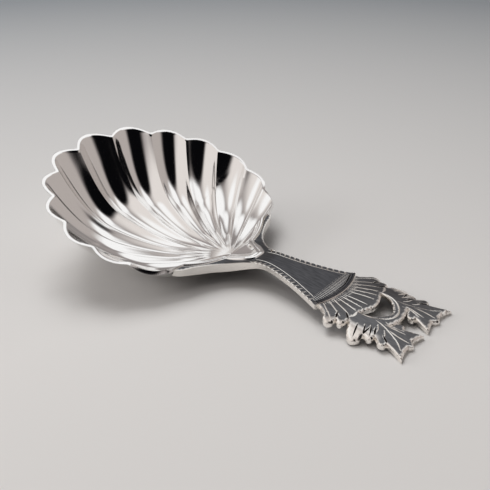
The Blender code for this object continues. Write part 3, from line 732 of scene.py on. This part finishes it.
archShape = {    # metres
    "rear": 0.0172, "bulge": 0.0014, "width": 0.0010, "halfSpan": 0.0065, "points": 25,
    "profile": ((-0.50, -0.4), (-0.50, 0.08), (-0.42, 0.22), (-0.24, 0.34), (-0.10, 0.32), (0.0, 0.20),
                (0.10, 0.32), (0.24, 0.34), (0.42, 0.22), (0.50, 0.08), (0.50, -0.4)),    # shares of width
}
engraving = {    # millimetres from the collar, as read off the photograph, unless a share or a count
    "cutDepth": 0.65, "tipShare": 0.2,    # depth of a cut and width at its ends, as shares of its half width
    "step": 0.35, "taper": 0.9,           # spacing of a cut's points, and the run over which it widens
    "edgeSteps": 14, "edgeBevel": (0.6, 17.3, 0.12),    # start, end and half width along the stem's edges
    "borderLine": (1.0, 16.6, 0.07), "borderInset": {-1: 1.35, 1: 1.05},
    "notches": (1.3, 17.0, 1.05),    # start, end and pitch
    "notchReach": 0.80, "notchOverrun": 0.2, "notchSlant": 0.60, "notchHalfWidth": 0.34,
    "fringe": 26, "fringeStart": 16.2, "fringeHalfSpan": 5.9, "fringeSpread": 0.94, "fringeOverrun": 0.1,
    "fringeHalfWidth": 0.045,
    "archGroovePoints": 13, "archGrooveSetback": 0.05, "archGrooveHalfWidth": 0.18,
    "fanCentre": 12.8, "fineRow": 24, "fineRowRadii": (7.2, 8.4), "fineRowAngle": 40.0,
    "fineRowHalfWidth": 0.05,
    "rayAngles": (5.5, 12.5, 19.5, 27.0, 34.5, 42.5), "rayRadii": (7.4, 12.4), "rayHalfWidth": 0.085,
    "lip": ((24.2, -6.6), (24.9, -4.0), (26.0, -1.5), (26.2, 0.7), (25.1, 4.2), (24.2, 6.6)),
    "lipBulge": 0.35, "lipGap": 0.06, "lipHalfWidth": 0.24,    # the gap is a share, and keeps the cuts apart
    "crescent": ((25.4, 4.2), (27.3, 3.9), (28.9, 3.0), (30.0, 1.6), (30.4, 0.0), (30.0, -1.6), (28.9, -3.0),
                 (27.3, -3.9), (25.4, -4.2)),
    "crescentHalfWidth": 0.15,
    "veins": (((28.4, 3.9), (30.1, 4.3), (31.5, 4.9), (33.8, 6.2), (35.2, 7.6)),
              ((30.2, 3.8), (31.7, 3.7), (33.7, 3.4)), ((29.9, 3.1), (31.1, 3.4), (33.2, 2.9)),
              ((31.5, 4.6), (33.4, 4.9), (35.3, 4.9)), ((29.2, 4.6), (29.8, 5.6), (30.0, 6.6)),
              ((30.8, 5.2), (31.4, 6.1), (31.6, 6.8))),
    "veinHalfWidth": 0.09,
    "fanHeart": (21.0, 3.0), "leafHeart": (28.6, 4.2), "leafCorners": 12,    # grooves run towards the hearts
    "grooveStart": 20.0, "grooveOverrun": 0.3, "grooveReach": 2.0, "grooveHalfWidth": 0.2,
    "fingers": (((26.4, 6.6), (26.7, 7.8), (27.0, 9.3)), ((27.5, 6.0), (28.0, 7.3), (28.4, 8.6)),
                ((28.4, 5.6), (29.0, 6.8), (29.4, 7.9))),
    "fingerHalfWidth": 0.16,
}
solderBead = {    # metres, and degrees round the bowl
    "radius": 0.00060, "angles": (166.0, 194.0), "points": 31, "outset": 0.0004, "drop": 0.00015,
    "endShare": 0.4, "endRun": 8.0, "resolution": 4,
}


def spread(halfSpan, count):    # even places from -halfSpan to halfSpan
    return [halfSpan * (2.0 * k / (count - 1) - 1.0) for k in range(count)]


def alongPath(points):    # points in metres on a smooth curve through points in millimetres
    points = [Vector(p) / 1000.0 for p in points]
    ends = [2.0 * points[0] - points[1]] + points + [2.0 * points[-1] - points[-2]]
    path = []
    for a, b, c, d in zip(ends, ends[1:], ends[2:], ends[3:]):
        count = max(2, round((c - b).length * 1000.0 / engraving["step"]))
        for k in range(count):
            t = k / count
            path.append((2.0 * b + (c - a) * t + (2.0 * a - 5.0 * b + 4.0 * c - d) * t * t
                         + (3.0 * b - a - 3.0 * c + d) * t**3) / 2.0)
    return path + [points[-1]]


def sweepProfile(name, profile, paths):    # swept along paths of (x, y, scale) on the handle's top
    section = curveObject(name + "Section", "2D")
    spline = section.data.splines.new("POLY")
    spline.points.add(len(profile) - 1)
    for point, (across, up) in zip(spline.points, profile):
        point.co = (across, up, 0.0, 1.0)
    spline.use_cyclic_u = True
    sweep = curveObject(name, "3D")
    sweep.data.twist_mode = "Z_UP"
    sweep.data.bevel_mode = "OBJECT"
    sweep.data.bevel_object = section
    sweep.data.use_fill_caps = True
    for route in paths:
        spline = sweep.data.splines.new("POLY")
        spline.points.add(len(route) - 1)
        for point, (x, y, scale) in zip(spline.points, route):
            point.co = (x + collar.x, y, upperFace(x, y), 1.0)
            point.radius = scale
    toMesh(sweep)
    bpy.data.objects.remove(section)
    return sweep


def stroke(points, halfWidth, wideStart=False):    # one cut of the graver, thin at both ends or at its last
    path = alongPath(points)
    taper = engraving["taper"] / 1000.0
    tip = engraving["tipShare"]
    length = sum((b - a).length for a, b in zip(path, path[1:]))
    done = 0.0
    route = []
    for k, p in enumerate(path):
        done += (p - path[k - 1]).length if k else 0.0
        if wideStart:
            nearEnd = (length - done) / length
        else:
            nearEnd = min(done, length - done) / min(taper, length / 2.0)
        route.append((p.x, p.y, halfWidth / 1000.0 * min(1.0, tip + (1.0 - tip) * nearEnd)))
    return route


def workHandle(tool, operation, finish):    # Boolean that leaves the tool's finish on the handle
    tool.data.materials.append(finish)
    applyModifier(handle, "BOOLEAN", object=tool, operation=operation, solver="EXACT",
                  material_mode="TRANSFER")
    bpy.data.objects.remove(tool)


def cutStrokes(name, strokes, finish):
    profile = ((1.0, 0.0), (0.0, 1.0), (-1.0, 0.0), (0.0, -engraving["cutDepth"]))
    workHandle(sweepProfile(name, profile, strokes), "DIFFERENCE", finish)
    print(name, "cut:", len(strokes), "strokes,", len(handle.data.polygons), "faces")


def edgePath(start, end, inset, side):    # line beside the stem's edge, in millimetres
    count = engraving["edgeSteps"]
    stations = [start + (end - start) * k / count for k in range(count + 1)]
    return [(x, side * (stemHalfWidth(x / 1000.0) * 1000.0 - inset)) for x in stations]


def archRear(y):    # back edge of the moulding, in millimetres
    return (archShape["rear"] + archShape["bulge"] * (1.0 - (y / archShape["halfSpan"] / 1000.0)**2)) * 1000.0


def stemStrokes():
    start, end, halfWidth = engraving["edgeBevel"]
    bevels = [stroke(edgePath(start, end, 0.0, side), halfWidth) for side in (-1, 1)]
    start, end, halfWidth = engraving["borderLine"]
    lines = [stroke(edgePath(start, end, inset, side), halfWidth)
             for side, inset in engraving["borderInset"].items()]
    start, end, pitch = engraving["notches"]
    notches = []
    for side in (-1, 1):
        for k in range(int((end - start) / pitch) + 1):
            x = start + pitch * k
            edge = stemHalfWidth(x / 1000.0) * 1000.0
            outer = (x, side * (edge + engraving["notchOverrun"]))
            inner = (x + engraving["notchSlant"], side * (edge - engraving["notchReach"]))
            notches.append(stroke([outer, inner], engraving["notchHalfWidth"], wideStart=True))
    fringe = []
    for y in spread(engraving["fringeHalfSpan"], engraving["fringe"]):
        start = (engraving["fringeStart"], engraving["fringeSpread"] * y)
        end = (archRear(y) + engraving["fringeOverrun"], y)
        fringe.append(stroke([start, end], engraving["fringeHalfWidth"]))
    # the groove behind the arch takes the painted shade
    groove = [(archRear(y) - engraving["archGrooveSetback"], y)
              for y in spread(archShape["halfSpan"] * 1000.0, engraving["archGroovePoints"])]
    archGroove = [stroke(groove, engraving["archGrooveHalfWidth"])]
    return {"edgeBevels": bevels, "borderLines": lines, "edgeNotches": notches, "fringe": fringe,
            "darkArchGroove": archGroove}


def fanStroke(angle, radii, halfWidth):    # along a ray of the fan
    a = math.radians(angle)
    return stroke([(engraving["fanCentre"] + r * math.cos(a), r * math.sin(a)) for r in radii], halfWidth)


def sideStrokes(lines, side, halfWidth):
    return [stroke([(x, side * y) for x, y in line], halfWidth) for line in lines]


def grooveStrokes():    # from the sharp corners between lobes towards the heart of fan or leaf
    edge = leafEdge()
    fanEnd = len(terminalShape["fanLobes"])
    leafEnd = fanEnd + engraving["leafCorners"]
    grooves = []
    for lobes, heart in ((edge[:fanEnd], engraving["fanHeart"]),
                         (edge[fanEnd:leafEnd], engraving["leafHeart"])):
        for x, y, isRound in lobes:
            if isRound or x * 1000.0 < engraving["grooveStart"]:
                continue
            for side in (-1, 1):
                cusp = Vector((x, side * y)) * 1000.0
                inward = (Vector((heart[0], side * heart[1])) - cusp).normalized()
                ends = [cusp - inward * engraving["grooveOverrun"], cusp + inward * engraving["grooveReach"]]
                grooves.append(stroke(ends, engraving["grooveHalfWidth"]))
    return grooves


def terminalStrokes():
    fineRow = [fanStroke(angle, engraving["fineRowRadii"], engraving["fineRowHalfWidth"])
               for angle in spread(engraving["fineRowAngle"], engraving["fineRow"])]
    rays = [fanStroke(side * angle, engraving["rayRadii"], engraving["rayHalfWidth"])
            for angle in engraving["rayAngles"] for side in (-1, 1)]
    lip = []
    for a, b in zip(engraving["lip"], engraving["lip"][1:]):
        a, b = Vector(a), Vector(b)
        middle = (a + b) / 2.0 + Vector((engraving["lipBulge"], 0.0))
        ends = [a.lerp(b, engraving["lipGap"]), b.lerp(a, engraving["lipGap"])]
        lip.append(stroke([ends[0], middle, ends[1]], engraving["lipHalfWidth"]))
    crescent = [stroke(engraving["crescent"], engraving["crescentHalfWidth"])]
    veins = [cut for side in (-1, 1)
             for cut in sideStrokes(engraving["veins"], side, engraving["veinHalfWidth"])]
    # the same finger grooves on both leaves: painted shade on the near leaf, bright cut on the far one
    dark, bright = (sideStrokes(engraving["fingers"], side, engraving["fingerHalfWidth"]) for side in (-1, 1))
    return {"fineRow": fineRow, "fanRays": rays, "fanLip": lip, "crescentLine": crescent, "leafVeins": veins,
            "darkLobeGrooves": grooveStrokes(), "darkFingers": dark, "brightFingers": bright}


def archMoulding():
    width = archShape["width"]
    profile = [(across * width, up * width) for across, up in archShape["profile"]]
    places = spread(archShape["halfSpan"], archShape["points"])
    path = [(archRear(y * 1000.0) / 1000.0 + width / 2.0, y, 1.0) for y in places]
    return sweepProfile("arch", profile, [path])


def solderAlong():    # bead in the seam between the bowl's collar and the neck
    bead = curveObject("solder", "3D")
    bead.data.bevel_depth = solderBead["radius"]
    bead.data.bevel_resolution = solderBead["resolution"]
    bead.data.use_fill_caps = True
    start, end = solderBead["angles"]
    last = solderBead["points"] - 1
    line = bead.data.splines.new("POLY")
    line.points.add(last)
    for k, point in enumerate(line.points):
        angle = start + (end - start) * k / last
        edge = bowlPoint((angle, 0.0, 0.0), 1.0)
        place = bowlTurn @ (edge + edge.normalized() * solderBead["outset"]) + bowlPlace
        point.co = (place.x, place.y, place.z - solderBead["drop"], 1.0)
        fromEnd = ease(min(angle - start, end - angle), 0.0, solderBead["endRun"])
        point.radius = solderBead["endShare"] + (1.0 - solderBead["endShare"]) * fromEnd
    toMesh(bead)
    return bead


workHandle(archMoulding(), "UNION", grainFinish)
# groups named dark get the painted shade of the grooves, the others the bright cut
for group, strokes in {**stemStrokes(), **terminalStrokes()}.items():
    cutStrokes(group, strokes, paintedShadeFinish if group.startswith("dark") else cutFinish)
workHandle(solderAlong(), "UNION", mirrorFinish)
wearFlat(handle)
markWearAndSheen(handle)
finishPiece(handle, "handle", handleShape["smoothAngle"])
print("handle made:", len(handle.data.polygons), "faces")


# Stage: pale paper floor, a tent of white, grey and dark patches, and two softboxes

stageSetup = {    # metres and watts
    # the far colour is painted shade, where the light would fall off
    "floorSize": 8.0, "floorColour": "#DDDBD9", "floorPaintedShade": "#7F8387",
    "paintedFalloff": (0.05, 0.34), "paintedLightCentre": (0.04, -0.05, 0.0),    # the paper's colour is painted darker away from this place, a painted light falloff
    "softboxes": (    # size, place, target and power
        ((0.50, 0.50), (-0.50, 0.29, 0.69), (0.0, 0.0, 0.0), 5.3),
        ((0.20, 0.10), (-0.30, -0.16, 0.12), (-0.02, -0.01, 0.0), 0.35)),
    "roomLight": 0.7,    # share of the tent's light that falls on the floor
    "tentColour": "#9C9593",
    "tentPatches": (    # colour, then azimuth, elevation, radius and soft edge in degrees; later ones on top
        ("#E8E2DE", -130.0, 42.0, 45.0, 16.0), ("#FFFFFF", 70.0, 57.0, 21.0, 6.0),
        ("#FFFFFF", 126.0, 47.0, 14.0, 6.0), ("#FFFFFF", -170.0, 60.0, 13.0, 7.0),
        ("#FFFFFF", 100.0, 44.0, 7.0, 4.0), ("#B5ADA9", 58.0, 6.0, 36.0, 10.0),
        ("#8A8583", 122.0, 2.0, 28.0, 10.0), ("#08080A", -16.0, 41.0, 34.0, 8.0)),
}


def floorPaper():
    # Matt white paper sweep with painted falloff: its colour darkens to a blue-grey away from the light
    material, tree, shader = newMaterial("mattPaper")
    place = addNode(tree, "ShaderNodeTexCoord").outputs["Object"]
    away = addNode(tree, "ShaderNodeVectorMath", {0: place, 1: stageSetup["paintedLightCentre"]},
                   operation="DISTANCE").outputs["Value"]
    start, end = stageSetup["paintedFalloff"]
    share = addNode(tree, "ShaderNodeMapRange", {"Value": away, "From Min": start, "From Max": end})
    near, far = (hexLinear(stageSetup[k]) for k in ("floorColour", "floorPaintedShade"))
    colour = addNode(tree, "ShaderNodeMix", {"Factor": share.outputs["Result"], "A": near, "B": far},
                     data_type="RGBA")
    tree.links.new(colour.outputs[2], shader.inputs["Base Color"])
    shader.inputs["Roughness"].default_value = 0.8
    return material


bpy.ops.object.select_all(action="DESELECT")
bpy.ops.mesh.primitive_plane_add(size=stageSetup["floorSize"], location=(0.0, 0.0, 0.0))
floor = bpy.context.object
floor.name = "floor"
floor.data.materials.append(floorPaper())

for size, place, target, power in stageSetup["softboxes"]:
    aim = (Vector(place) - Vector(target)).to_track_quat("Z", "Y").to_euler()
    bpy.ops.object.light_add(type="AREA", location=place, rotation=aim)
    softbox = bpy.context.object
    softbox.data.shape = "RECTANGLE"
    softbox.data.size, softbox.data.size_y = size
    softbox.data.energy = power
    softbox.visible_glossy = False    # the tent's white patches stand for it in the silver


def makeRoom():
    # Grey tent with white, pale and dark patches, at full strength for what shines and less for the rest
    world = bpy.data.worlds.new("room")
    scene.world = world
    world.use_nodes = True
    tree = world.node_tree
    toSky = addNode(tree, "ShaderNodeTexCoord").outputs["Generated"]
    colour = hexLinear(stageSetup["tentColour"])
    for shade, *angles in stageSetup["tentPatches"]:
        azimuth, elevation, radius, soft = (math.radians(a) for a in angles)
        across = math.cos(elevation)
        middle = (across * math.cos(azimuth), across * math.sin(azimuth), math.sin(elevation))
        near = addNode(tree, "ShaderNodeVectorMath", {0: toSky, 1: middle}, operation="DOT_PRODUCT")
        share = addNode(tree, "ShaderNodeMapRange", {"Value": near.outputs["Value"],
                                                     "From Min": math.cos(radius + soft),
                                                     "From Max": math.cos(radius - soft)},
                        interpolation_type="SMOOTHSTEP").outputs["Result"]
        colour = addNode(tree, "ShaderNodeMix", {"Factor": share, "A": colour, "B": hexLinear(shade)},
                         data_type="RGBA").outputs[2]
    rays = addNode(tree, "ShaderNodeLightPath").outputs
    seen = rays["Is Camera Ray"]
    for kind in ("Is Glossy Ray", "Is Transmission Ray"):
        seen = addNode(tree, "ShaderNodeMath", {0: seen, 1: rays[kind]}, operation="MAXIMUM").outputs["Value"]
    strength = addNode(tree, "ShaderNodeMapRange", {"Value": seen, "To Min": stageSetup["roomLight"],
                                                    "To Max": 1.0})
    background = tree.nodes["Background"]
    tree.links.new(colour, background.inputs["Color"])
    tree.links.new(strength.outputs["Result"], background.inputs["Strength"])


makeRoom()
print("stage lit")
